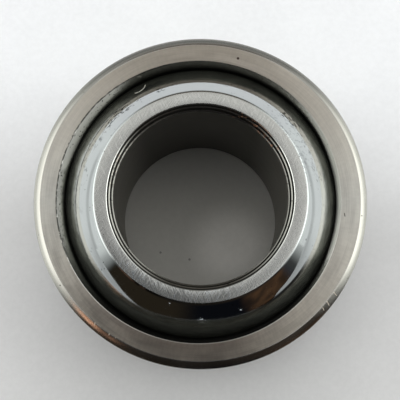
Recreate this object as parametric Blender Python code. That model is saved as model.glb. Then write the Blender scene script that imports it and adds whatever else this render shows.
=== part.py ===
# Spherical plain bearing: a one-piece outer ring swaged round a ball-shaped inner ring.
# Metres, +Z along the bore, with the origin at the centre of the ball.
import math

import bmesh
import bpy

# Inner ring. The land is the flat end between the bore's chamfer and the ball.
BORE_DIAMETER = 0.018
INNER_WIDTH = 0.023
BORE_CHAMFER_WIDTH = 0.0006
BORE_CHAMFER_DEPTH = 0.00085
END_LAND_WIDTH = 0.001344
BALL_EDGE_RADIUS = 0.0002

# Outer ring. The wall is its thinnest place, outside the ball's waist.
OUTER_WIDTH = 0.0165
OUTER_WALL = 0.001525
OUTER_CHAMFER_WIDTH = 0.00074
OUTER_CHAMFER_DEPTH = 0.0005
EDGE_BREAK = 0.00012

# Race and the lip that is pressed over the ball
RACE_CLEARANCE = 0.0001
LIP_DEPTH = 0.00105
LIP_WIDTH = 0.00063
LIP_BULGE = 0.00008
LIP_SHIFT = (-0.00018, 0.00005)

# Fineness of the turned surfaces
RING_STEPS = 96
BALL_STEPS = 16
RACE_STEPS = 10
LIP_STEPS = 3
EDGE_STEPS = 2

# The ball passes through the edges of both ends, the race follows the ball,
# and the outside follows the race. That gives a 31.75 mm ball and a 35 mm outside.
BORE_RADIUS = BORE_DIAMETER / 2
END_RADIUS = BORE_RADIUS + BORE_CHAMFER_WIDTH + END_LAND_WIDTH
BALL_RADIUS = math.hypot(END_RADIUS, INNER_WIDTH / 2)
RACE_RADIUS = BALL_RADIUS + RACE_CLEARANCE
OUTER_RADIUS = RACE_RADIUS + OUTER_WALL


def clear_scene():
    for item in list(bpy.data.objects):
        bpy.data.objects.remove(item, do_unlink=True)


def make_material(name, colour, roughness):
    material = bpy.data.materials.new(name)
    material.use_nodes = True
    shader = material.node_tree.nodes["Principled BSDF"]
    shader.inputs["Base Color"].default_value = (*colour, 1)
    shader.inputs["Metallic"].default_value = 1
    shader.inputs["Roughness"].default_value = roughness
    return material


def arc(centre, radius, start, end, steps):
    """Points of a circular arc in the turning plane, both ends included."""
    points = []
    for i in range(steps + 1):
        angle = start + (end - start) * i / steps
        points.append((centre[0] + radius * math.cos(angle), centre[1] + radius * math.sin(angle)))
    return points


def mirrored(points):
    """The same points below the middle plane, in the order that carries the outline on."""
    return [(radius, -height) for radius, height in reversed(points)]


def ball_edge():
    """Small rounded edge between the ball and its flat end: centre, start angle, end angle."""
    height = INNER_WIDTH / 2 - BALL_EDGE_RADIUS
    reach = BALL_RADIUS - BALL_EDGE_RADIUS
    centre = (math.sqrt(reach ** 2 - height ** 2), height)
    return centre, math.atan2(centre[1], centre[0]), math.pi / 2


def inner_outline():
    """Half of the inner ring's section, from the ball's waist up and in to the bore."""
    centre, tangent, flat = ball_edge()
    ball = arc((0, 0), BALL_RADIUS, 0, tangent, BALL_STEPS // 2)
    edge = arc(centre, BALL_EDGE_RADIUS, tangent, flat, EDGE_STEPS)
    top = INNER_WIDTH / 2
    bore = [(BORE_RADIUS + BORE_CHAMFER_WIDTH, top), (BORE_RADIUS, top - BORE_CHAMFER_DEPTH)]
    return ball + edge[1:] + bore


def lip_outline():
    """The lip, from the mouth of the race up and out to the flat face, slightly bulged."""
    mouth_height = OUTER_WIDTH / 2 - LIP_DEPTH
    mouth_radius = math.sqrt(RACE_RADIUS ** 2 - mouth_height ** 2)
    slope = math.hypot(LIP_WIDTH, LIP_DEPTH)
    points = []
    for i in range(LIP_STEPS + 1):
        share = i / LIP_STEPS
        bulge = LIP_BULGE * math.sin(math.pi * share)
        radius = mouth_radius + LIP_WIDTH * share - bulge * LIP_DEPTH / slope
        height = mouth_height + LIP_DEPTH * share + bulge * LIP_WIDTH / slope
        points.append((radius, height))
    return points


def outer_outline():
    """Half of the outer ring's section, from the middle of the race up, out and down."""
    lip = lip_outline()
    mouth_angle = math.atan2(lip[0][1], lip[0][0])
    race = arc((0, 0), RACE_RADIUS, 0, mouth_angle, RACE_STEPS // 2)
    top = OUTER_WIDTH / 2
    corner = top - OUTER_CHAMFER_DEPTH
    inside = OUTER_RADIUS - OUTER_CHAMFER_WIDTH
    # The break rounds the corner where the chamfer meets the turned outside.
    slope = math.hypot(OUTER_CHAMFER_WIDTH, OUTER_CHAMFER_DEPTH)
    chamfer_end = (
        OUTER_RADIUS - EDGE_BREAK * OUTER_CHAMFER_WIDTH / slope,
        corner + EDGE_BREAK * OUTER_CHAMFER_DEPTH / slope,
    )
    outside = [(inside, top), chamfer_end, (OUTER_RADIUS, corner - EDGE_BREAK)]
    return race[:-1] + lip + outside


def turn(name, outline, material):
    """Spin a closed outline about the bore's axis into one solid."""
    mesh = bmesh.new()
    verts = [mesh.verts.new((radius, 0, height)) for radius, height in outline]
    edges = [mesh.edges.new((verts[i - 1], verts[i])) for i in range(len(verts))]
    bmesh.ops.spin(
        mesh,
        geom=verts + edges,
        axis=(0, 0, 1),
        cent=(0, 0, 0),
        angle=2 * math.pi,
        steps=RING_STEPS,
        use_merge=True,
    )
    bmesh.ops.remove_doubles(mesh, verts=mesh.verts, dist=1e-6)
    bmesh.ops.recalc_face_normals(mesh, faces=mesh.faces)
    data = bpy.data.meshes.new(name)
    mesh.to_mesh(data)
    mesh.free()
    data.materials.append(material)
    piece = bpy.data.objects.new(name, data)
    bpy.context.collection.objects.link(piece)
    return piece


def shift_lip(piece):
    """Carry the upper lip's edge off centre, as the facing cut left it."""
    mesh = bmesh.new()
    mesh.from_mesh(piece.data)
    lip = lip_outline()
    for i, (radius, height) in enumerate(lip):
        share = i / LIP_STEPS
        rim = []
        for vert in mesh.verts:
            same_height = abs(vert.co.z - height) < 1e-6
            if same_height and abs(vert.co.xy.length - radius) < 1e-6:
                rim.append(vert)
        bmesh.ops.translate(mesh, verts=rim, vec=(LIP_SHIFT[0] * share, LIP_SHIFT[1] * share, 0))
    mesh.to_mesh(piece.data)
    mesh.free()


def shade(piece):
    piece.data.shade_smooth()
    piece.data.set_sharp_from_angle(angle=math.radians(25))


def build_inner_ring():
    steel = make_material("polished_steel", (0.56, 0.56, 0.55), 0.12)
    upper = inner_outline()
    outline = mirrored(upper)[:-1] + upper
    piece = turn("inner_ring", outline, steel)
    shade(piece)
    return piece


def build_outer_ring():
    steel = make_material("ground_steel", (0.60, 0.59, 0.56), 0.32)
    upper = outer_outline()
    outline = upper + mirrored(upper)[:-1]
    piece = turn("outer_ring", outline, steel)
    shift_lip(piece)
    shade(piece)
    return piece


clear_scene()
outer_ring = build_outer_ring()
inner_ring = build_inner_ring()
inner_ring.parent = outer_ring
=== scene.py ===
import math

import bmesh
import bpy
from mathutils import Matrix, Vector


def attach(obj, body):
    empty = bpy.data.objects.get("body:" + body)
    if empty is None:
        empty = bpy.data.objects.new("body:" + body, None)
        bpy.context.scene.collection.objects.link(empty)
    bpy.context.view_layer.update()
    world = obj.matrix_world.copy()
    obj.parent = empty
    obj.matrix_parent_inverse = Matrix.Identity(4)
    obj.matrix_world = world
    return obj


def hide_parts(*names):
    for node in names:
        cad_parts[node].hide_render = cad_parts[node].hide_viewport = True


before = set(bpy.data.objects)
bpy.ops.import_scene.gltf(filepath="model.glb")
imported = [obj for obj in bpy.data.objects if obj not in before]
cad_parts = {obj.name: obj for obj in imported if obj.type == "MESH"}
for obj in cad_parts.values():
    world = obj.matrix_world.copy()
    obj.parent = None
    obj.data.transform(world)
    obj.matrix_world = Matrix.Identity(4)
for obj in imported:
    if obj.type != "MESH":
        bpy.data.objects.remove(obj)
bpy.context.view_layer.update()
print("frame loaded")

mm = 0.001
mergeDistance = 1e-7
sharpAngle = 25.0
flatTolerance = 0.01  # these three tell the faces of a ring apart, in millimetres
wallTolerance = 0.05
ballTolerance = 0.3


# shader helpers: Wire does the arithmetic, Finish makes every other node

class Wire:
    def __init__(self, finish, socket):
        self.finish = finish
        self.socket = socket

    def maths(self, operation, *others):
        inputs = dict(enumerate((self, *others)))
        return self.finish.node("ShaderNodeMath", {"operation": operation}, inputs)

    def flipped(self, operation, other):
        return self.finish.node("ShaderNodeMath", {"operation": operation}, {0: other, 1: self})

    def __add__(self, other): return self.maths("ADD", other)
    def __radd__(self, other): return self.flipped("ADD", other)
    def __sub__(self, other): return self.maths("SUBTRACT", other)
    def __rsub__(self, other): return self.flipped("SUBTRACT", other)
    def __mul__(self, other): return self.maths("MULTIPLY", other)
    def __rmul__(self, other): return self.flipped("MULTIPLY", other)
    def __truediv__(self, other): return self.maths("DIVIDE", other)
    def __rtruediv__(self, other): return self.flipped("DIVIDE", other)
    def __pow__(self, other): return self.maths("POWER", other)
    def __gt__(self, other): return self.maths("GREATER_THAN", other)
    def __lt__(self, other): return self.maths("LESS_THAN", other)
    def __abs__(self): return self.maths("ABSOLUTE")


class Finish:
    def __init__(self, tree):
        self.tree = tree
        self.tree.nodes.clear()

    def node(self, kind, settings=None, inputs=None, output=0):
        made = self.tree.nodes.new(kind)
        for key, value in (settings or {}).items():
            setattr(made, key, value)
        for key, value in (inputs or {}).items():
            socket = made.inputs[key]
            if isinstance(value, Wire):
                self.tree.links.new(value.socket, socket)
            elif socket.type == "RGBA":
                socket.default_value = (*value, 1)
            else:
                socket.default_value = value
        return Wire(self, made.outputs[output] if len(made.outputs) else None)

    def fade(self, value, low, high, start=0.0, end=1.0):
        # goes smoothly from start to end while the value goes from low to high
        return self.node("ShaderNodeMapRange", {"interpolation_type": "SMOOTHSTEP"},
                         {"Value": value, "From Min": low, "From Max": high, "To Min": start, "To Max": end})

    def mix(self, share, first, second, blend="MIX"):
        return self.node("ShaderNodeMix", {"data_type": "RGBA", "blend_type": blend},
                         {0: share, 6: first, 7: second}, 2)

    def noise(self, vector, scale, detail=2.0, rough=0.5):
        return self.node("ShaderNodeTexNoise", {}, {"Vector": vector, "Scale": scale, "Detail": detail,
                                                    "Roughness": rough})

    def vector(self, x, y, z):
        return self.node("ShaderNodeCombineXYZ", {}, {0: x, 1: y, 2: z})

    def split(self, vector):
        parts = self.node("ShaderNodeSeparateXYZ", {}, {0: vector})
        return [Wire(self, socket) for socket in parts.socket.node.outputs]

    def scale(self, vector, factor):
        return self.node("ShaderNodeVectorMath", {"operation": "SCALE"}, {0: vector, "Scale": factor})

    def colour(self, red, green, blue):
        return self.node("ShaderNodeCombineColor", {}, {0: red, 1: green, 2: blue})

    def bump(self, height, strength, depth):
        return self.node("ShaderNodeBump", {}, {"Strength": strength, "Distance": depth, "Height": height})


class Polar:
    # place on a turned piece, in millimetres: radius, height and the direction round the bore
    def __init__(self, finish):
        self.finish = finish
        self.place = finish.scale(finish.node("ShaderNodeTexCoord", {}, {}, 3), 1 / mm)
        self.x, self.y, self.height = finish.split(self.place)
        self.radius = (self.x * self.x + self.y * self.y) ** 0.5
        self.towardX = self.x / self.radius
        self.towardY = self.y / self.radius

    def apart(self, x, y):
        return ((self.x - x) * (self.x - x) + (self.y - y) * (self.y - y)) ** 0.5

    def near(self, x, y, size):
        # one inside a small round spot, nought outside it
        return self.finish.fade(self.apart(x, y), size, size * 0.6)

    def streak(self, x, y, across, along, angle):
        # one inside a short straight mark that lies at an angle
        turn = math.radians(angle)
        dx, dy = self.x - x, self.y - y
        lengthwise = abs(dx * math.cos(turn) + dy * math.sin(turn))
        sideways = abs(dy * math.cos(turn) - dx * math.sin(turn))
        inLength = self.finish.fade(lengthwise, along, along * 0.7)
        return inLength * self.finish.fade(sideways, across, across * 0.4)

    def rings(self, across, around, detail):
        # noise drawn out round the bore
        drawnOut = self.finish.vector(across, self.towardX * around, self.towardY * around)
        return self.finish.noise(drawnOut, 1.0, detail)

    def strokes(self, around, across, detail, rough=0.5):
        # noise drawn out across the surface
        drawnOut = self.finish.vector(self.towardX * around, self.towardY * around, across)
        return self.finish.noise(drawnOut, 1.0, detail, rough)


def newMaterial(name):
    material = bpy.data.materials.new(name)
    material.use_nodes = True
    return material, Finish(material.node_tree)


def newSteel(name, colour, roughness=0.3, metal=1.0, anisotropic=0.0):
    material, finish = newMaterial(name)
    shader = finish.node("ShaderNodeBsdfPrincipled", {}, {
        "Base Color": colour, "Metallic": metal, "Roughness": roughness,
        "Anisotropic": anisotropic, "Anisotropic Rotation": 0.25})
    finish.node("ShaderNodeOutputMaterial", {}, {"Surface": shader})
    return material, finish, shader.socket.node


def feed(finish, bsdf, **links):
    names = {"colour": "Base Color", "roughness": "Roughness", "metal": "Metallic", "normal": "Normal"}
    for key, wire in links.items():
        finish.tree.links.new(wire.socket, bsdf.inputs[names[key]])


def turnedSteel(name, look, addMarks):
    # fine rings left by the tool, a slow change of tone, a few dark pits, and the marks of one surface
    material, finish, bsdf = newSteel(name, look["colour"], look["roughness"], look["metal"],
                                      look["anisotropic"])
    at = Polar(finish)
    rings = at.rings(at.radius * look["ringsPerMm"], 3.0, 3.0)
    coarse = at.rings(at.radius * 1.2, 5.0, 2.0)
    tone = finish.fade(rings * 0.6 + coarse * 0.4, 0.3, 0.7)
    pits = finish.noise(at.place, look["pitScale"], 1.0)
    pitted = finish.fade(pits, look["pitLevel"], look["pitLevel"] + 0.03)
    dull = tuple(channel * look["dullShare"] for channel in look["colour"])
    colour = finish.mix(tone, dull, look["colour"])
    colour = finish.mix(pitted, colour, look["pit"])
    rough = finish.fade(coarse, 0.3, 0.7, look["roughness"] * 0.85, look["roughness"] * 1.15)
    colour, rough = addMarks(finish, at, colour, rough)
    bump = finish.bump(rings, look["bump"], look["bumpDepth"])
    feed(finish, bsdf, colour=colour, roughness=rough, normal=bump)
    return material


# mesh helpers

def arcPoints(centre, radius, start, end, steps):
    span = [start + (end - start) * i / steps for i in range(steps + 1)]
    return [(centre[0] + radius * math.cos(a), centre[1] + radius * math.sin(a)) for a in span]


def bulgedPoints(first, last, bulge, steps):
    # a straight line from first to last that swells to its left in the middle
    dx, dy = last[0] - first[0], last[1] - first[1]
    length = math.hypot(dx, dy)
    points = []
    for i in range(steps + 1):
        share = i / steps
        swell = bulge * math.sin(math.pi * share) / length
        points.append((first[0] + dx * share - dy * swell, first[1] + dy * share + dx * swell))
    return points


def mirroredPoints(points):
    return [(radius, -height) for radius, height in reversed(points)]


def newPiece(name, mesh):
    data = bpy.data.meshes.new(name)
    mesh.to_mesh(data)
    mesh.free()
    piece = bpy.data.objects.new(name, data)
    bpy.context.collection.objects.link(piece)
    return piece


def spinPiece(name, outline, rounded, steps):
    # a closed outline in millimetres, its sharp corners rounded, turned about the bore
    mesh = bmesh.new()
    verts = [mesh.verts.new((radius * mm, 0, height * mm)) for radius, height in outline]
    for i in range(len(verts)):
        mesh.edges.new((verts[i - 1], verts[i]))
    for size, corners in rounded:
        bmesh.ops.bevel(mesh, geom=[verts[i] for i in corners], offset=size * mm, affect="VERTICES", segments=4,
                        profile=0.5, material=-1)
    bmesh.ops.spin(mesh, geom=mesh.verts[:] + mesh.edges[:], axis=(0, 0, 1), cent=(0, 0, 0),
                   angle=2 * math.pi, steps=steps, use_merge=True)
    bmesh.ops.remove_doubles(mesh, verts=mesh.verts, dist=mergeDistance)
    bmesh.ops.recalc_face_normals(mesh, faces=mesh.faces)
    return newPiece(name, mesh)


def paintFaces(piece, materials, choose):
    # choose gives a material's place in the list from a face's middle, in millimetres
    for material in materials:
        piece.data.materials.append(material)
    for face in piece.data.polygons:
        middle = face.center / mm
        face.material_index = choose(middle.xy.length, middle.z)
    piece.data.shade_smooth()
    piece.data.set_sharp_from_angle(angle=math.radians(sharpAngle))


# inner ring

innerLook = {
    "boreRadius": 9.0,
    "halfWidth": 11.5,
    "ballRadius": 15.875,
    "chamferWidth": 0.6,
    "chamferDepth": 0.85,
    "edgeRound": 0.14,  # between the ball and the end
    "landRound": 0.10,  # between the end and the chamfer
    "ridges": 2,  # the chamfer was turned in this many steps
    "ridgeDrop": 0.045,
    "ridgeStep": 0.12,
    "ridgeRound": 0.03,
    "steps": 360,
    "ballSteps": 64,
}


def makeInnerRing():
    look = innerLook
    top = look["halfWidth"]
    landEdge = math.sqrt(look["ballRadius"] ** 2 - top ** 2)
    ball = arcPoints((0, 0), look["ballRadius"], 0, math.atan2(top, landEdge), look["ballSteps"] // 2)
    bore = look["boreRadius"]
    # each step of the chamfer is a steep cone and then a shallow crest
    chamfer = [(bore + look["chamferWidth"], top)]
    wide = look["chamferWidth"] / look["ridges"]
    deep = look["chamferDepth"] / look["ridges"]
    for i in range(look["ridges"]):
        radius, height = chamfer[-1]
        chamfer.append((radius - wide + look["ridgeStep"], height - deep + look["ridgeDrop"]))
        chamfer.append((radius - wide, height - deep))
    upper = ball + chamfer
    lower = mirroredPoints(upper)[:-1]
    last = len(ball) - 1
    crests = [last + 3 + 2 * i for i in range(look["ridges"] - 1)]
    middle = len(lower)  # the upper corners follow this one, the lower ones come before it
    rounded = [(look["edgeRound"], [middle + last, middle - last]),
               (look["landRound"], [middle + last + 1, middle - last - 1]),
               (look["ridgeRound"], [middle + i for i in crests] + [middle - i for i in crests])]
    piece = spinPiece("innerRingSteel", lower + upper, rounded, look["steps"])

    def choose(radius, height):
        if abs(height) > top - flatTolerance:
            return 1
        if radius < bore + wallTolerance and abs(height) < top - look["chamferDepth"]:
            return 3
        insideBall = math.hypot(radius, height) < look["ballRadius"] - ballTolerance
        if insideBall and radius < bore + look["chamferWidth"] + wallTolerance:
            return 2
        return 0

    chamferSteel = turnedSteel("turnedChamfer", chamferLook, chamferMarks)
    paintFaces(piece, [polishedBall(), groundEnd(), chamferSteel, honedBore()], choose)
    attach(piece, "inner_ring")
    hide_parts("inner_ring")
    return piece


ballLook = {
    "bright": (0.65, 0.675, 0.685),
    "filmEnds": (0.15, 0.155, 0.13),  # the oil film toward the front and the back; it is painted lighter toward the sides as a painted reflection
    "filmSides": (0.25, 0.26, 0.23),
    "filmMetal": 0.84,
    "filmRoughness": 0.12,
    "filmHeight": 9.9,
    "filmFade": 0.28,
    "dropFront": 0.80,  # how far the film's edge falls toward the sides, in the front half and behind
    "dropBack": 0.61,
    "dropUpLeft": 0.33,
    "smear": (0.05, 0.05, 0.045),
    "smearShare": 0.45,
    "pit": (0.04, 0.045, 0.05),
    "pitLevel": 0.935,
    "speck": (0.10, 0.10, 0.10),
    "speckLevel": 0.745,
    "ripple": (0.20, 0.22, 0.25),
    "rippleShare": 0.4,
    # painted reflection of a dark line, low on the right
    "paintedDarkLine": (0.02, 0.02, 0.02),
    "paintedDarkLineShare": 0.9,
    "paintedDarkLinePlace": (9.44, 0.26, 0.12),  # height, outer and inner half width
    # painted shade on the rounded edge beside the land
    "dull": (0.05, 0.05, 0.05),
    "dullShare": 0.85,
    "fibre": (0.95, 0.93, 0.85),
    "fibreMiddle": (-6.93, 12.42),
    "fibreRadius": 1.07,
    "fibreThickness": 0.07,
}


def polishedBall():
    # mirror bright near the ends, with a dark film of oil and wear beside the mouth of the race
    look = ballLook
    material, finish, bsdf = newSteel("polishedBall", look["bright"])
    at = Polar(finish)
    height = abs(at.height)
    haze = finish.noise(at.place, 0.35, 3.0)
    fine = finish.noise(at.place, 7.0, 3.0)
    sideways = at.towardX * at.towardX
    drop = finish.fade(at.towardY, -0.5, 0.0, look["dropFront"], look["dropBack"])
    upLeft = finish.fade(at.towardY, -0.4, 0.5, 0.0, look["dropUpLeft"])
    upLeft = upLeft * finish.fade(at.towardY, 0.3, 0.5, 1.0, 0.5)
    drop = drop + finish.fade(at.towardX, -0.6, -0.85) * upLeft
    edge = look["filmHeight"] - abs(at.towardX) ** 1.2 * drop
    soft = look["filmFade"] + sideways ** 6.0 * 0.5
    film = finish.fade(height + (fine - 0.5) * 0.4, edge + soft * 0.25, edge - soft * 0.9)
    rough = finish.fade(haze * 0.7 + fine * 0.3, 0.35, 0.7, 0.03, 0.09) + film * look["filmRoughness"]
    # the oil film, painted lighter out to the left and right as a painted reflection
    toSides = sideways ** finish.fade(at.towardY, -0.3, 0.3, 1.0, 3.0)
    colour = finish.mix(film, look["bright"], finish.mix(toSides, look["filmEnds"], look["filmSides"]))
    metal = finish.fade(film, 0.0, 1.0, 1.0, look["filmMetal"])
    smears = finish.fade(at.strokes(9.0, at.height * 2.5, 4.0, 0.65), 0.42, 0.60)
    colour = finish.mix(smears * film * look["smearShare"], colour, look["smear"])

    # short dark streaks where the ball rubs, in clusters along the edge of the film
    streaks = at.strokes(24.0, at.height * 6.0, 2.0, 0.6)
    clusters = finish.noise(at.place, 0.55, 2.0)
    worn = finish.fade(at.towardY, -0.25, 0.3) * finish.fade(abs(at.towardX), 0.1, 0.4)
    worn = worn * finish.fade(height, 10.9, 9.9) * finish.fade(height, 8.3, 9.0)
    pits = streaks + clusters * 0.6 + worn * 0.06 - finish.fade(at.towardX, 0.0, 0.5) * 0.03
    pits = finish.fade(pits, look["pitLevel"], look["pitLevel"] + 0.035)
    pits = pits * finish.fade(abs(at.towardX), 0.78, 0.88, 0.95, 0.5)
    colour = finish.mix(pits * finish.fade(worn, 0.05, 0.4), colour, look["pit"])
    specks = finish.fade(finish.noise(at.place, 3.2, 1.0), look["speckLevel"], look["speckLevel"] + 0.025)
    colour = finish.mix(specks, colour, look["speck"])

    # fine ripples in the oil out on the right
    oiled = finish.fade(at.towardX, 0.5, 0.75) * finish.fade(at.towardY, 0.05, 0.3)
    oiled = oiled * finish.fade(height, 9.5, 10.0)
    ripples = finish.vector(at.towardX * 45.0, at.towardY * 45.0 + at.radius * 3.0, at.height * 4.0)
    ripples = finish.fade(finish.noise(ripples, 1.0), 0.56, 0.62)
    colour = finish.mix(ripples * oiled * look["rippleShare"], colour, look["ripple"])

    # a painted reflection: a black line painted where the film begins, low on the right
    middle, wide, narrow = look["paintedDarkLinePlace"]
    paintedDarkLine = finish.fade(abs(height - middle), wide, narrow) * (at.towardY < 0)
    paintedDarkLine = paintedDarkLine * finish.fade(at.towardX, 0.40, 0.58) * finish.fade(at.towardX, 0.90, 0.78)
    colour = finish.mix(paintedDarkLine * look["paintedDarkLineShare"], colour, look["paintedDarkLine"])

    # painted shade: the rounded edge beside the land is painted dark low on the left
    dull = finish.fade(height, 11.36, 11.42)
    dull = dull * finish.fade(at.towardX, -0.3, -0.45) * finish.fade(at.towardY, -0.52, -0.64)
    colour = finish.mix(dull * look["dullShare"], colour, look["dull"])

    # one pale fibre stuck to the ball, a quarter of a circle
    x, y = look["fibreMiddle"]
    fibre = abs(at.apart(x, y) - look["fibreRadius"])
    fibre = finish.fade(fibre, look["fibreThickness"], 0.02) * (at.x > x) * (at.y < y) * (at.height > 0)
    colour = finish.mix(fibre, colour, look["fibre"])
    feed(finish, bsdf, colour=colour, roughness=rough + fibre * 0.5, metal=metal)
    return material


endLook = {
    "pale": (0.775, 0.775, 0.75),
    "dull": (0.655, 0.655, 0.635),
    # painted light toward the front
    "front": (0.95, 0.95, 0.93),
    "frontShare": 0.45,
    "fresh": (0.92, 0.97, 1.0),  # new scratches and rubbed places low on the left
    "worn": (0.22, 0.23, 0.24),
    "wornShare": 0.7,
    "scratchAngles": (62.0, 112.0),
    "scratchesPerMm": 9.0,
    "scratchLength": 1.8,
    "bump": 0.4,
    "bumpDepth": 0.00003,
}


def groundEnd():
    # crossed grinding scratches over the flat ends, painted paler toward the front as painted light
    look = endLook
    material, finish, bsdf = newSteel("groundEnd", look["pale"])
    at = Polar(finish)
    scratches = []
    for angle in look["scratchAngles"]:
        turn = math.radians(angle)
        along = at.x * math.cos(turn) + at.y * math.sin(turn)
        across = at.y * math.cos(turn) - at.x * math.sin(turn)
        lines = finish.vector(across * look["scratchesPerMm"], along / look["scratchLength"], angle)
        scratches.append(finish.noise(lines, 1.0, 2.0, 0.6))
    scratch = scratches[0].maths("MAXIMUM", scratches[1])
    tone = finish.fade(scratch * 0.7 + at.rings(at.radius * 8.0, 5.0, 2.0) * 0.3, 0.42, 0.66)
    colour = finish.mix(tone, look["dull"], look["pale"])
    rough = finish.fade(scratch, 0.45, 0.7, 0.30, 0.22)
    # painted light: the end is painted paler toward the front
    colour = finish.mix(finish.fade(at.towardY, 0.1, -0.6) * look["frontShare"], colour, look["front"])
    low = finish.fade(at.towardY, -0.3, -0.7) * finish.fade(at.towardX, 0.6, 0.1, 0.15, 1.0)
    colour = finish.mix(finish.fade(scratch, 0.58, 0.63) * low, colour, look["fresh"])
    colour = finish.mix(finish.fade(scratch, 0.56, 0.47) * low * look["wornShare"], colour, look["worn"])
    bump = finish.bump(scratch, look["bump"], look["bumpDepth"])
    feed(finish, bsdf, colour=colour, roughness=rough, normal=bump)
    return material


chamferLook = {
    "colour": (0.56, 0.55, 0.51), "roughness": 0.1, "metal": 0.93, "anisotropic": 0.0, "ringsPerMm": 14.0,
    "dullShare": 0.75, "pit": (0.06, 0.055, 0.05), "pitScale": 4.0, "pitLevel": 0.70,
    "bump": 0.2, "bumpDepth": 0.00002,
    "paintedHighlightWidth": 0.06,  # width of the painted highlight beside the land
    "paintedHighlight": (0.95, 0.95, 0.92),
    "flank": (0.05, 0.05, 0.045),
    # also the colour of the painted shade toward the back
    "stainAndShade": (0.07, 0.06, 0.05),
    "stainShare": 0.45,
    "backShadeShare": 0.7,
    "front": (0.05, 0.05, 0.04),
    "frontShare": 0.35,
    "oilAndShade": (0.50, 0.27, 0.17),
    "oilAndShadeShare": 0.8,
    "oilRoughness": 0.25,
}


def chamferMarks(finish, at, colour, rough):
    # flanks between polished crests painted dark, more on the right, as painted shade; dark at the bore; a
    # painted highlight beside the land; painted shade toward the back and the front; pitted out to the left;
    # specks of brown oil
    look = chamferLook
    inward = innerLook["boreRadius"] + innerLook["chamferWidth"] - at.radius
    inside = inward > look["paintedHighlightWidth"]
    phase = (inward * innerLook["ridges"] / innerLook["chamferWidth"]).maths("FRACT")
    flank = finish.fade(phase, 0.62, 0.50) * inside
    flank = flank.maths("MAXIMUM", finish.fade(at.radius, 9.08, 9.05))
    # painted shade: the flanks are painted dark, more toward the right
    colour = finish.mix(flank * finish.fade(at.towardX, -0.6, 0.1, 0.25, 0.72), colour, look["flank"])
    stains = finish.fade(finish.noise(at.place, 1.5, 3.0), 0.50, 0.56)
    stains = stains * finish.fade(at.towardX, -0.3, -0.75) * finish.fade(at.towardY, -0.25, 0.25)
    colour = finish.mix(stains * look["stainShare"] * inside, colour, look["stainAndShade"])
    # painted highlight: a bright line beside the land
    colour = finish.mix(finish.fade(inward, look["paintedHighlightWidth"], look["paintedHighlightWidth"] / 2), colour, look["paintedHighlight"])
    # painted shade toward the back
    colour = finish.mix(finish.fade(at.towardY, 0.45, 0.85) * look["backShadeShare"], colour, look["stainAndShade"])
    # painted shade toward the front
    colour = finish.mix(finish.fade(at.towardY, -0.2, -0.7) * look["frontShare"], colour, look["front"])
    upRight = finish.fade(at.towardX, 0.2, 0.5) * finish.fade(at.towardY, 0.3, 0.6)
    left = finish.fade(at.towardX, -0.75, -0.9) * finish.fade(at.towardY, 0.0, 0.3) * 0.3
    oilAndShadeMask = finish.fade(finish.noise(at.place, 2.2, 2.0), 0.54, 0.66) * upRight.maths("MAXIMUM", left)
    colour = finish.mix(oilAndShadeMask * look["oilAndShadeShare"], colour, look["oilAndShade"])
    return colour, look["roughness"] + oilAndShadeMask * look["oilRoughness"]


boreLook = {
    "roughness": 0.42,
    "light": (0.10, 0.095, 0.08),
    "dark": (0.065, 0.06, 0.05),
    # painted light to both sides
    "lightSides": (0.34, 0.33, 0.30),
    "darkSides": (0.24, 0.23, 0.21),
    "linesPerMm": 8.0,
    "bump": 0.15,
    "bumpDepth": 0.00002,
}


def honedBore():
    # dark, with fine rings, and painted paler to both sides as painted light
    look = boreLook
    material, finish, bsdf = newSteel("honedBore", look["light"], look["roughness"])
    at = Polar(finish)
    lines = at.rings(at.height * look["linesPerMm"], 4.0, 3.0)
    # painted light: paler to both sides
    sideways = finish.fade(abs(at.towardX), 0.6, 1.0) * finish.fade(at.towardY, -0.6, -0.1)
    light = finish.mix(sideways, look["light"], look["lightSides"])
    dark = finish.mix(sideways, look["dark"], look["darkSides"])
    colour = finish.mix(finish.fade(lines, 0.3, 0.7), dark, light)
    feed(finish, bsdf, colour=colour, normal=finish.bump(lines, look["bump"], look["bumpDepth"]))
    return material


# outer ring

outerLook = {
    "outerRadius": 17.5,
    "halfWidth": 8.25,
    "raceGap": 0.1,
    "lipDepth": 1.05,
    "lipWidth": 0.63,
    "lipBulge": 0.08,
    "lipShift": (-0.18, 0.05),  # the visible lip was pressed a little off centre
    "chamferWidth": 0.74,
    "chamferDepth": 0.5,
    "edgeRound": 0.07,
    "rimBulge": 0.035,
    "rimSteps": 8,
    "steps": 360,
    "raceSteps": 40,
    "lipSteps": 8,
}


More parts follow.
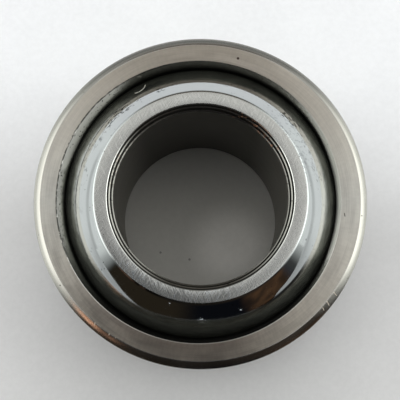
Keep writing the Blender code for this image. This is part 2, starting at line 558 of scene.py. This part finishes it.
def makeOuterRing():
    look = outerLook
    top = look["halfWidth"]
    outer = look["outerRadius"]
    raceRadius = innerLook["ballRadius"] + look["raceGap"]
    mouthHeight = top - look["lipDepth"]
    mouthRadius = math.sqrt(raceRadius ** 2 - mouthHeight ** 2)
    race = arcPoints((0, 0), raceRadius, 0, math.atan2(mouthHeight, mouthRadius), look["raceSteps"] // 2)
    lip = bulgedPoints((mouthRadius, mouthHeight), (mouthRadius + look["lipWidth"], top),
                       look["lipBulge"], look["lipSteps"])
    rim = bulgedPoints((outer - look["chamferWidth"], top), (outer, top - look["chamferDepth"]),
                       look["rimBulge"], look["rimSteps"])
    upper = race[:-1] + lip + rim
    outline = upper + mirroredPoints(upper)[:-1]
    lipEnd = len(race) - 1 + look["lipSteps"]
    corners = [len(race) - 1, lipEnd, lipEnd + 1, lipEnd + 1 + look["rimSteps"]]
    rounded = [(look["edgeRound"], corners + [len(outline) - i for i in corners])]
    piece = spinPiece("outerRingSteel", outline, rounded, look["steps"])

    lipOuter = mouthRadius + look["lipWidth"] + 2 * look["edgeRound"]
    for vert in piece.data.vertices:
        height = vert.co.z / mm
        if height > mouthHeight and vert.co.xy.length / mm < lipOuter:
            share = min((height - mouthHeight) / look["lipDepth"], 1)
            vert.co.x += look["lipShift"][0] * share * mm
            vert.co.y += look["lipShift"][1] * share * mm

    def choose(radius, height):
        if radius > outer - flatTolerance:
            return 3
        if radius > outer - look["chamferWidth"] - look["edgeRound"] and abs(height) < top - 0.0005:
            return 2
        if abs(height) > top - flatTolerance:
            return 0
        return 1

    faceSteel = turnedSteel("turnedFace", faceLook, faceMarks)
    rimSteel = turnedSteel("brightChamfer", rimLook, rimMarks)
    paintFaces(piece, [faceSteel, pressedLip(), rimSteel, groundOutside()], choose)
    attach(piece, "outer_ring")
    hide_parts("outer_ring")
    return piece


faceLook = {
    "colour": (0.70, 0.678, 0.636), "roughness": 0.34, "metal": 1.0, "anisotropic": 0.75, "ringsPerMm": 9.0,
    "dullShare": 0.82, "pit": (0.06, 0.055, 0.05), "pitScale": 2.2, "pitLevel": 0.82,
    "bump": 0.12, "bumpDepth": 0.00002,
    "innerEdge": 14.95,
    "warmReflectionTint": (1.0, 0.935, 0.87),  # painted warm reflection toward the front and the back
    "stroke": (0.25, 0.22, 0.20),
    # painted shade low on the inner side
    "oilAndShade": (0.085, 0.04, 0.035),
    "oilAndShadeShare": 0.42,
    "paintedEdgeHighlight": (0.95, 0.93, 0.88),
    "paintedEdgeHighlightShare": 0.8,
    "edgeDark": (0.07, 0.07, 0.06),
    "dot": (3.98, 15.23, 0.17),  # x, y, size
    "dotColour": (0.09, 0.06, 0.05),
    "nick": (15.05, -1.5, 0.07, 0.22, 100.0),  # x, y, half width, half length, angle
    "nickColour": (0.12, 0.11, 0.10),
}


def faceMarks(finish, at, colour, rough):
    # a painted highlight along the low part of the inner edge, painted shade low on the inner side, a painted
    # warm reflection toward the front and the back, a dark one up on the left, a dot and a nick
    look = faceLook
    # painted warm reflection toward the front and the back
    colour = finish.mix(abs(at.towardY), colour, look["warmReflectionTint"], "MULTIPLY")
    strokes = finish.fade(at.strokes(55.0, at.radius * 1.3, 2.0), 0.40, 0.62)
    colour = finish.mix(strokes * finish.fade(at.towardY, 0.2, -0.9, 0.06, 0.12), colour, look["stroke"])
    # painted shade: the low part of the inner side is painted darker brown
    oilAndShadeMask = finish.fade(at.towardY, -0.45, -0.9) * finish.fade(at.radius, 17.0, 15.0)
    oilAndShadeMask = oilAndShadeMask * finish.fade(at.towardX, 0.1, 0.6, 1.0, 0.05)
    colour = finish.mix(oilAndShadeMask * look["oilAndShadeShare"], colour, look["oilAndShade"])
    edge = finish.fade(at.apart(*outerLook["lipShift"]), look["innerEdge"] + 0.06, look["innerEdge"] - 0.02)
    # painted highlight along the low part of the inner edge
    low = edge * finish.fade(at.towardY, -0.1, -0.4)
    colour = finish.mix(low * look["paintedEdgeHighlightShare"], colour, look["paintedEdgeHighlight"])
    dark = edge * finish.fade(at.towardX, -0.45, -0.7) * finish.fade(at.towardY, -0.55, -0.3)
    dark = dark * finish.fade(finish.noise(at.place, 2.6, 2.0), 0.38, 0.5)
    colour = finish.mix(dark, colour, look["edgeDark"])
    top = at.height > 0
    colour = finish.mix(at.near(*look["dot"]) * top, colour, look["dotColour"])
    colour = finish.mix(at.streak(*look["nick"]) * top, colour, look["nickColour"])
    return colour, rough


lipLook = {
    "colour": (0.6, 0.6, 0.58),
    "roughness": 0.22,
    "least": 0.10,
    "toBack": 0.06,
    "toSides": 0.85,
    "farRight": 0.9,
    "upperLeft": 5.5,
    "brightest": 0.95,
    "seamShare": 0.92,
    "yellow": 0.95,
    "bump": 0.3,
    "bumpDepth": 0.00003,
}


def pressedLip():
    # a steep shoulder that mirrors the dark gap, painted bright and mottled out to the left and right as
    # painted reflection, and painted darker toward the gap as painted shade
    look = lipLook
    material, finish, bsdf = newSteel("pressedLip", look["colour"], look["roughness"])
    at = Polar(finish)
    share = (abs(at.height) - outerLook["halfWidth"] + outerLook["lipDepth"]) / outerLook["lipDepth"]
    sideways = abs(at.towardX) ** finish.fade(0 - at.towardY, 0.0, 0.5, 4.5, 12.0)
    mottled = finish.noise(at.place, 3.5, 3.0, 0.6)
    left = finish.fade(at.towardX, -0.2, -0.6)
    # painted reflection: brightness painted by direction round the bore, with painted shade darker toward the
    # gap
    bright = look["least"] + at.towardY * look["toBack"] + sideways * look["toSides"]
    bright = bright + finish.fade(at.towardX, 0.9, 0.99) * look["farRight"]
    bright = bright * finish.fade(share, 0.0, 0.85, 0.2, 1.35)
    bright = bright * finish.fade(mottled + left * 0.1, 0.4, 0.65, 0.85, 1.08)
    upperLeft = finish.fade(at.towardX, -0.4, -0.85) * finish.fade(at.towardY, 0.2, 0.45)
    bright = bright * finish.fade(at.towardX, -1.0, 1.0, 0.63, 1.6) * (1.0 + upperLeft * look["upperLeft"])
    bright = bright.maths("MINIMUM", look["brightest"]) * finish.fade(share, 0.1, 0.7, 0.55, 1.0)

    # dark pits, and a dotted seam along the top on the left
    pits = finish.fade(finish.noise(at.place, 4.0, 1.5) + left * 0.06, 0.71, 0.75)
    pits = pits * finish.fade(share, 0.95, 0.85)
    dots = finish.fade(finish.noise(at.place, 1.6, 3.0), 0.36, 0.50)
    seam = finish.fade(share, 0.93, 0.97) * left * finish.fade(at.towardY, -0.6, -0.3) * dots
    shade = bright * (1.0 - pits) * (1.0 - seam * look["seamShare"])
    colour = finish.colour(shade, shade, shade * look["yellow"])
    metal = finish.fade(bright, 0.2, 0.9, 0.9, 0.5)
    feed(finish, bsdf, colour=colour, metal=metal, normal=finish.bump(mottled, look["bump"], look["bumpDepth"]))
    return material


rimLook = {
    "colour": (0.62, 0.60, 0.56), "roughness": 0.2, "metal": 1.0, "anisotropic": 0.3, "ringsPerMm": 6.0,
    "dullShare": 0.85, "pit": (0.06, 0.055, 0.05), "pitScale": 3.0, "pitLevel": 0.76,
    "bump": 0.15, "bumpDepth": 0.00002,
    "back": (0.16, 0.155, 0.15),
    "backShadeShare": 0.42,
    "paintedBackHighlight": (0.90, 0.89, 0.87),  # painted highlight, paler beside the face at the back
    "paintedBackHighlightShare": 0.35,
    # painted highlights, short pale marks
    "paintedGlint": (0.95, 0.85, 0.75),
    "paintedGlintRoughness": 0.5,
    "paintedGlintPlaces": [(-9.25, -13.6, 0.05, 0.5, 62.0), (-8.5, -14.15, 0.05, 0.35, 20.0),  # as for the nick
               (-10.9, -12.75, 0.05, 0.25, 80.0), (13.2, -10.75, 0.06, 0.3, -60.0),
               (13.95, -9.75, 0.05, 0.3, -50.0), (12.7, -11.3, 0.04, 0.2, -62.0)],
}


def rimMarks(finish, at, colour, rough):
    # painted shade darker toward the back, with a painted highlight beside the face there, and short pale
    # painted highlights low on the left and right
    look = rimLook
    # painted highlight beside the face at the back, and painted shade toward the back
    paintedBackHighlight = finish.fade(at.towardY, 0.68, 0.92) * finish.fade(at.radius, 17.2, 16.95)
    back = finish.fade(at.towardY, 0.3, 0.85) * look["backShadeShare"] * (1.0 - paintedBackHighlight)
    colour = finish.mix(back, colour, look["back"])
    colour = finish.mix(paintedBackHighlight * look["paintedBackHighlightShare"], colour, look["paintedBackHighlight"])
    # short pale marks painted as highlights, low on the left and right
    paintedGlint = at.streak(*look["paintedGlintPlaces"][0])
    for score in look["paintedGlintPlaces"][1:]:
        paintedGlint = paintedGlint.maths("MAXIMUM", at.streak(*score))
    paintedGlint = paintedGlint * (at.height > 0)
    return finish.mix(paintedGlint, colour, look["paintedGlint"]), rough + paintedGlint * look["paintedGlintRoughness"]


outsideLook = {
    "roughness": 0.25,
    "light": (0.62, 0.61, 0.59),
    "dark": (0.50, 0.49, 0.47),
    "linesPerMm": 10.0,
    "bump": 0.15,
    "bumpDepth": 0.00002,
}


def groundOutside():
    look = outsideLook
    material, finish, bsdf = newSteel("groundOutside", look["light"], look["roughness"])
    at = Polar(finish)
    lines = at.rings(at.height * look["linesPerMm"], 4.0, 3.0)
    colour = finish.mix(finish.fade(lines, 0.3, 0.7), look["dark"], look["light"])
    feed(finish, bsdf, colour=colour, normal=finish.bump(lines, look["bump"], look["bumpDepth"]))
    return material


# table

tableLook = {
    "height": -11.5,
    "radius": 700.0,
    "roughness": 0.7,
    "specular": 0.2,
    # painted shade: the floor is darker toward the front
    "front": (0.70, 0.70, 0.70),
    "back": (0.945, 0.955, 0.975),
    "backFrom": (-4.0, 19.0),
    "sides": (0.82, 0.84, 0.83),
    "sidesFrom": (40.0, 75.0),
    "far": (0.74, 0.75, 0.76),
    "end": (0.45, 0.455, 0.45),
    "endFrom": (200.0, 420.0),
    # painted shadow that only reflections see
    "near": (0.40, 0.41, 0.41),
    "nearFrom": (-8.0, -62.0),
    "nearWithin": (190.0, 110.0),
    "line": (0.04, 0.042, 0.045),  # a painted shadow arc in front
    "lineRadius": 77.0,
    "ring": (0.15, 0.15, 0.15),  # painted shade, a soft darker ring out to both sides
    "ringRadius": 165.0,
    "ringShare": 0.38,
    "boreRadius": (13.0, 11.0),
    "boreShade": (0.86, 0.85, 0.81),  # through the bore it is painted warmer and darker as painted shade, with one painted pool of light
    "borePoolOfLight": (1.26, 1.24, 1.20),
    "borePatch": (3.7, -2.6, 6.2),
    "crumb": (0.05, 0.05, 0.05),
    "crumbShare": 0.55,
    "crumbs": [(-4.75, -3.61, 0.17), (-1.27, -4.45, 0.18)],
}


def makeTable():
    look = tableLook
    mesh = bmesh.new()
    bmesh.ops.create_circle(mesh, cap_ends=True, segments=96, radius=look["radius"] * mm)
    bmesh.ops.translate(mesh, verts=mesh.verts, vec=(0, 0, look["height"] * mm))
    table = newPiece("table", mesh)
    material, finish = newMaterial("paleTable")
    at = Polar(finish)
    # painted shade: the floor is painted darker toward the front near the object
    pale = finish.fade(at.y + at.x * 0.05, *look["backFrom"])
    sides = finish.fade(at.radius, *look["sidesFrom"])
    colour = finish.mix(pale.maths("MAXIMUM", sides), look["front"], look["back"])

    # painted shade that only reflections see: the table dimmer far behind and in front of the dark side
    isGlossy = finish.node("ShaderNodeLightPath", {}, {}, 3)
    colour = finish.mix(sides * isGlossy, colour, look["sides"])
    far = finish.mix(finish.fade(at.y, *look["endFrom"]), look["far"], look["end"])
    colour = finish.mix(finish.fade(at.y - abs(at.x) * 0.8, 0.0, 40.0) * isGlossy, colour, far)
    shaded = finish.fade(at.y, *look["nearFrom"]) * finish.fade(at.radius, *look["nearWithin"])
    colour = finish.mix(shaded * isGlossy, colour, look["near"])
    line = finish.fade(abs(at.radius - look["lineRadius"]), 10.0, 5.0) * (at.y < 0)
    line = line * finish.fade(at.towardX, -0.74, -0.62) * finish.fade(at.towardX, 0.94, 0.84)
    colour = finish.mix(line * isGlossy, colour, look["line"])
    ring = finish.fade(abs(at.radius - look["ringRadius"]), 45.0, 15.0)
    ring = ring * finish.fade(abs(at.towardX), 0.8, 0.92)
    colour = finish.mix(ring * look["ringShare"] * isGlossy, colour, look["ring"])

    # painted shade through the bore, with one painted pool of light
    x, y, size = look["borePatch"]
    patch = finish.fade(at.apart(x, y), size, size * 0.25)
    bore = finish.mix(patch, look["boreShade"], look["borePoolOfLight"])
    colour = finish.mix(finish.fade(at.radius, *look["boreRadius"]), colour, bore, "MULTIPLY")
    clouds = finish.fade(finish.noise(at.place, 0.11, 3.0), 0.3, 0.7, 0.98, 1.015)
    grain = finish.fade(finish.noise(at.place, 1.4, 3.0, 0.7), 0.3, 0.7, 0.975, 1.015)
    colour = finish.scale(colour, clouds * grain)
    for crumb in look["crumbs"]:
        colour = finish.mix(at.near(*crumb) * look["crumbShare"], colour, look["crumb"])
    shader = finish.node("ShaderNodeBsdfPrincipled", {}, {
        "Base Color": colour, "Roughness": look["roughness"], "Specular IOR Level": look["specular"]})
    finish.node("ShaderNodeOutputMaterial", {}, {"Surface": shader})
    table.data.materials.append(material)


# cards that only reflections see

cardLook = {
    "darkWall": [(-141.0, -51.3, 22.0), (-136.0, -63.4, 26.0), (-128.2, -74.0, 34.0), (-117.7, -79.4, 75.0),
                 (-106.3, -81.6, 120.0), (-89.9, -81.0, 150.0), (-75.0, -77.7, 150.0), (-63.6, -75.8, 145.0),
                 (-51.0, -73.5, 140.0), (-41.0, -71.0, 140.0), (0.0, -77.0, 140.0), (47.0, -67.2, 140.0),
                 (57.0, -67.0, 140.0), (70.0, -74.0, 140.0), (79.0, -76.0, 140.0), (87.3, -73.3, 130.0),
                 (100.0, -71.4, 105.0), (113.0, -68.0, 75.0), (132.0, -67.0, 45.0), (162.0, -69.0, 30.0),
                 (178.0, -61.0, 26.0)],
    "lowMiddle": (0.004, 0.0045, 0.006),
    "lowLeft": (0.022, 0.017, 0.011),
    "brownDark": (0.034, 0.021, 0.013),
    "brownLight": (0.082, 0.044, 0.023),
    "lowRight": (0.036, 0.036, 0.040),
    "highMiddle": (0.012, 0.010, 0.008),
    "highRight": (0.030, 0.022, 0.017),
    "highLeftEnd": (0.70, 0.73, 0.70),
    "highRightEnd": (0.24, 0.245, 0.235),
    "copperDark": (0.40, 0.15, 0.075),
    "copperLight": (1.75, 1.05, 0.70),
    "glint": (3.0, 3.1, 3.3),
    "glints": [(-23.5, -73.6, 12.9, 0.34, 1.0), (0.9, -76.8, -3.6, 0.65, 3.2),  # x, y, height, size, power
               (28.8, -71.0, 0.4, 0.38, 1.0)],
    "cameraCard": (-52.0, 26.0, -170.0, 15.0, 142.0),  # left, right, front, back, height
    "cameraCardColour": (0.035, 0.035, 0.038),
}


def newCard(name, panels):
    mesh = bmesh.new()
    for corners in panels:
        mesh.faces.new([mesh.verts.new(Vector(corner) * mm) for corner in corners])
    card = newPiece(name, mesh)
    card.visible_camera = False
    card.visible_diffuse = False
    card.visible_shadow = False
    card.visible_transmission = False
    material, finish = newMaterial(name)
    card.data.materials.append(material)
    return finish


def glow(finish, colour):
    shader = finish.node("ShaderNodeEmission", {}, {"Color": colour, "Strength": 1.0})
    finish.node("ShaderNodeOutputMaterial", {}, {"Surface": shader})


def makeDarkSide():
    # the side that the camera stands on: black in the middle, brown to both sides, two copper gleams
    look = cardLook
    floor, wall = tableLook["height"], look["darkWall"]
    panels = [[(*first[:2], floor), (*second[:2], floor), second, first]
              for first, second in zip(wall, wall[1:])]
    finish = newCard("darkSide", panels)
    at = Polar(finish)
    steep = (at.height - 8.0) / (at.radius - 17.0)

    # the low part is seen in the ball
    low = finish.mix(finish.fade(at.towardX, -0.3, 0.0), look["lowLeft"], look["lowMiddle"])
    blotches = finish.noise(finish.vector(at.towardX * 9.0 - steep * 4.0, steep * 7.0, 3.0), 1.0, 1.5)
    brown = finish.mix(finish.fade(blotches, 0.3, 0.7), look["brownDark"], look["brownLight"])
    low = finish.mix(finish.fade(at.towardX, 0.36, 0.58), low, brown)
    low = finish.mix(finish.fade(at.towardX, 0.77, 0.84), low, look["lowRight"])
    grey = finish.fade(abs(at.towardX - 0.02), 0.84, 0.955, 0.05, 0.60)
    grey = grey + finish.fade(abs(at.towardX - 0.02), 0.91, 0.955, 0.0, 0.16)
    low = finish.mix(finish.fade(abs(at.towardX), 0.82, 0.86), low, finish.colour(grey, grey * 1.04, grey))

    # the high part is seen in the outer chamfer
    high = finish.mix(finish.fade(at.towardX, 0.1, 0.6), look["highMiddle"], look["highRight"])
    gleams = finish.noise(finish.vector(at.towardX * 34.0, steep * 9.0, 1.0), 1.0, 2.0)
    gleam = finish.mix(finish.fade(gleams, 0.40, 0.62), look["copperDark"], look["copperLight"])
    second = finish.fade(abs(at.towardX + 0.595), 0.035, 0.015) * 0.4
    copper = finish.fade(abs(at.towardX + 0.75), 0.095, 0.04).maths("MAXIMUM", second)
    high = finish.mix(copper * finish.fade(abs(steep - 0.52), 0.24, 0.10), high, gleam)
    high = finish.mix(finish.fade(at.towardX, -0.79, -0.88), high, look["highLeftEnd"])
    high = finish.mix(finish.fade(at.towardX, 0.79, 0.88), high, look["highRightEnd"])
    colour = finish.mix(finish.fade(steep, 0.15, 0.3), low, high)
    for x, y, height, size, power in look["glints"]:
        glint = at.near(x, y, size) * finish.fade(abs(at.height - height), size, size * 0.6)
        colour = finish.mix(glint, colour, tuple(channel * power for channel in look["glint"]))
    glow(finish, colour)


def makeDarkAbove():
    left, right, front, back, height = cardLook["cameraCard"]
    finish = newCard("darkAbove", [[(left, front, height), (right, front, height),
                                    (right, back, height), (left, back, height)]])
    glow(finish, cardLook["cameraCardColour"])


# light

lightLook = {
    "above": (0.71, 0.715, 0.70),
    "behindHigh": (0.11, 0.092, 0.075),
    "behindMiddle": (0.22, 0.22, 0.21),
    "behindLow": (0.36, 0.385, 0.375),
    "front": (0.06, 0.05, 0.045),
    "sideLow": (0.86, 0.90, 0.86),
    "leftHigh": (2.05, 2.1, 2.0),
    "rightHigh": (2.3, 2.36, 2.25),
    "cornerShare": 0.42,
    "frontShare": 0.35,
    "below": (0.08, 0.09, 0.08),
    "roomBack": (1.06, 1.075, 1.115),
    "roomFront": (0.92, 0.92, 0.935),
    "roomAbove": (1.38, 1.37, 1.32),
    "roomAboveFront": (0.02, 0.02, 0.02),
    "backdrop": (0.86, 0.87, 0.89),
    "lampPlace": (60.0, 260.0, 340.0),
    "lampSize": 300.0,
    "lampWatts": 0.2,
}


def makeLight():
    # polished steel shows the designed room, the table is lit by a plainer and softer one
    look = lightLook
    world = bpy.data.worlds.new("softRoom")
    bpy.context.scene.world = world
    world.use_nodes = True
    finish = Finish(world.node_tree)
    x, y, z = finish.split(finish.node("ShaderNodeTexCoord", {}, {}, 0))
    high = finish.mix(finish.fade(x, -0.5, 0.5), look["leftHigh"], look["rightHigh"])
    side = finish.mix(finish.fade(z, 0.10, 0.56), look["sideLow"], high)
    corner = finish.fade(abs(x), 0.5, 0.9, look["cornerShare"], 1.0)
    corner = corner * finish.fade(0 - y, 0.15, 0.6, 1.0, look["frontShare"])
    corner = corner.maths("MAXIMUM", finish.fade(z, 0.12, 0.04, 0.0, 0.95))
    # both sides are dimmer high up toward the camera, the right one more
    dim = finish.fade(x, -0.3, 0.5, 0.5, 1.55) * finish.fade(0 - y, 0.2, 0.45) * finish.fade(z, 0.2, 0.4)
    side = finish.scale(side, corner * (1.0 - dim * 0.5))
    colour = finish.mix(finish.fade(z, 0.78, 0.95), side, look["above"])
    behind = finish.mix(finish.fade(z, 0.10, 0.18), look["behindLow"], look["behindMiddle"])
    behind = finish.mix(finish.fade(z, 0.3, 0.5), behind, look["behindHigh"])
    colour = finish.mix(finish.fade(y - abs(x) * 0.8, 0.2, 0.55), colour, behind)
    colour = finish.mix(finish.fade(z * 0.45 - y, 0.55, 0.9), colour, look["front"])
    colour = finish.mix(finish.fade(z, -0.033, -0.05), colour, look["below"])
    room = finish.mix(finish.fade(y, -0.6, 0.6), look["roomFront"], look["roomBack"])
    above = finish.mix(finish.fade(y, -0.18, 0.0), look["roomAboveFront"], look["roomAbove"])
    room = finish.mix(finish.fade(z, 0.6, 0.9), room, above)
    isDiffuse = finish.node("ShaderNodeLightPath", {}, {}, 2)
    isCamera = finish.node("ShaderNodeLightPath", {}, {}, 0)
    colour = finish.mix(isDiffuse, colour, room)
    shade = finish.node("ShaderNodeBackground", {}, {"Color": colour, "Strength": 1.0})
    plain = finish.node("ShaderNodeBackground", {}, {"Color": look["backdrop"], "Strength": 1.0})
    both = finish.node("ShaderNodeMixShader", {}, {0: isCamera, 1: shade, 2: plain})
    finish.node("ShaderNodeOutputWorld", {}, {"Surface": both})

    lamp = bpy.data.lights.new("softLamp", "AREA")
    lamp.size = look["lampSize"] * mm
    lamp.energy = look["lampWatts"]
    piece = bpy.data.objects.new("softLamp", lamp)
    bpy.context.collection.objects.link(piece)
    piece.location = Vector(look["lampPlace"]) * mm
    piece.rotation_euler = piece.location.to_track_quat("Z", "Y").to_euler()
    piece.visible_glossy = False


# camera, placed in the photograph's own view

cameraLook = {
    "place": (-0.422, -17.248, 134.583),
    "look": (0.00945, 0.13256, -0.99113),
    "lens": 109.8,
    "sensor": 36.0,
    "middle": (208.09, 203.82),  # where the lens points, in the photograph's pixels
    "frameSize": 400,
}


def makeCamera():
    look = cameraLook
    data = bpy.data.cameras.new("photoCamera")
    data.sensor_width = look["sensor"]
    data.lens = look["lens"]
    data.clip_start = mm
    size = look["frameSize"]
    data.shift_x = (size / 2 - look["middle"][0]) / size
    data.shift_y = (look["middle"][1] - size / 2) / size
    camera = bpy.data.objects.new("photoCamera", data)
    bpy.context.collection.objects.link(camera)
    back = -Vector(look["look"]).normalized()
    right = (Vector((1, 0, 0)) - back * back.x).normalized()
    up = back.cross(right)
    turn = Matrix((right, up, back)).transposed().to_4x4()
    camera.matrix_world = Matrix.Translation(Vector(look["place"]) * mm) @ turn
    bpy.context.scene.camera = camera
    bpy.context.scene.view_settings.view_transform = "Standard"


makeInnerRing()
print("inner ring made")
makeOuterRing()
print("outer ring made")
makeTable()
makeDarkSide()
makeDarkAbove()
print("table and cards made")
makeLight()
makeCamera()
print("light and camera made")
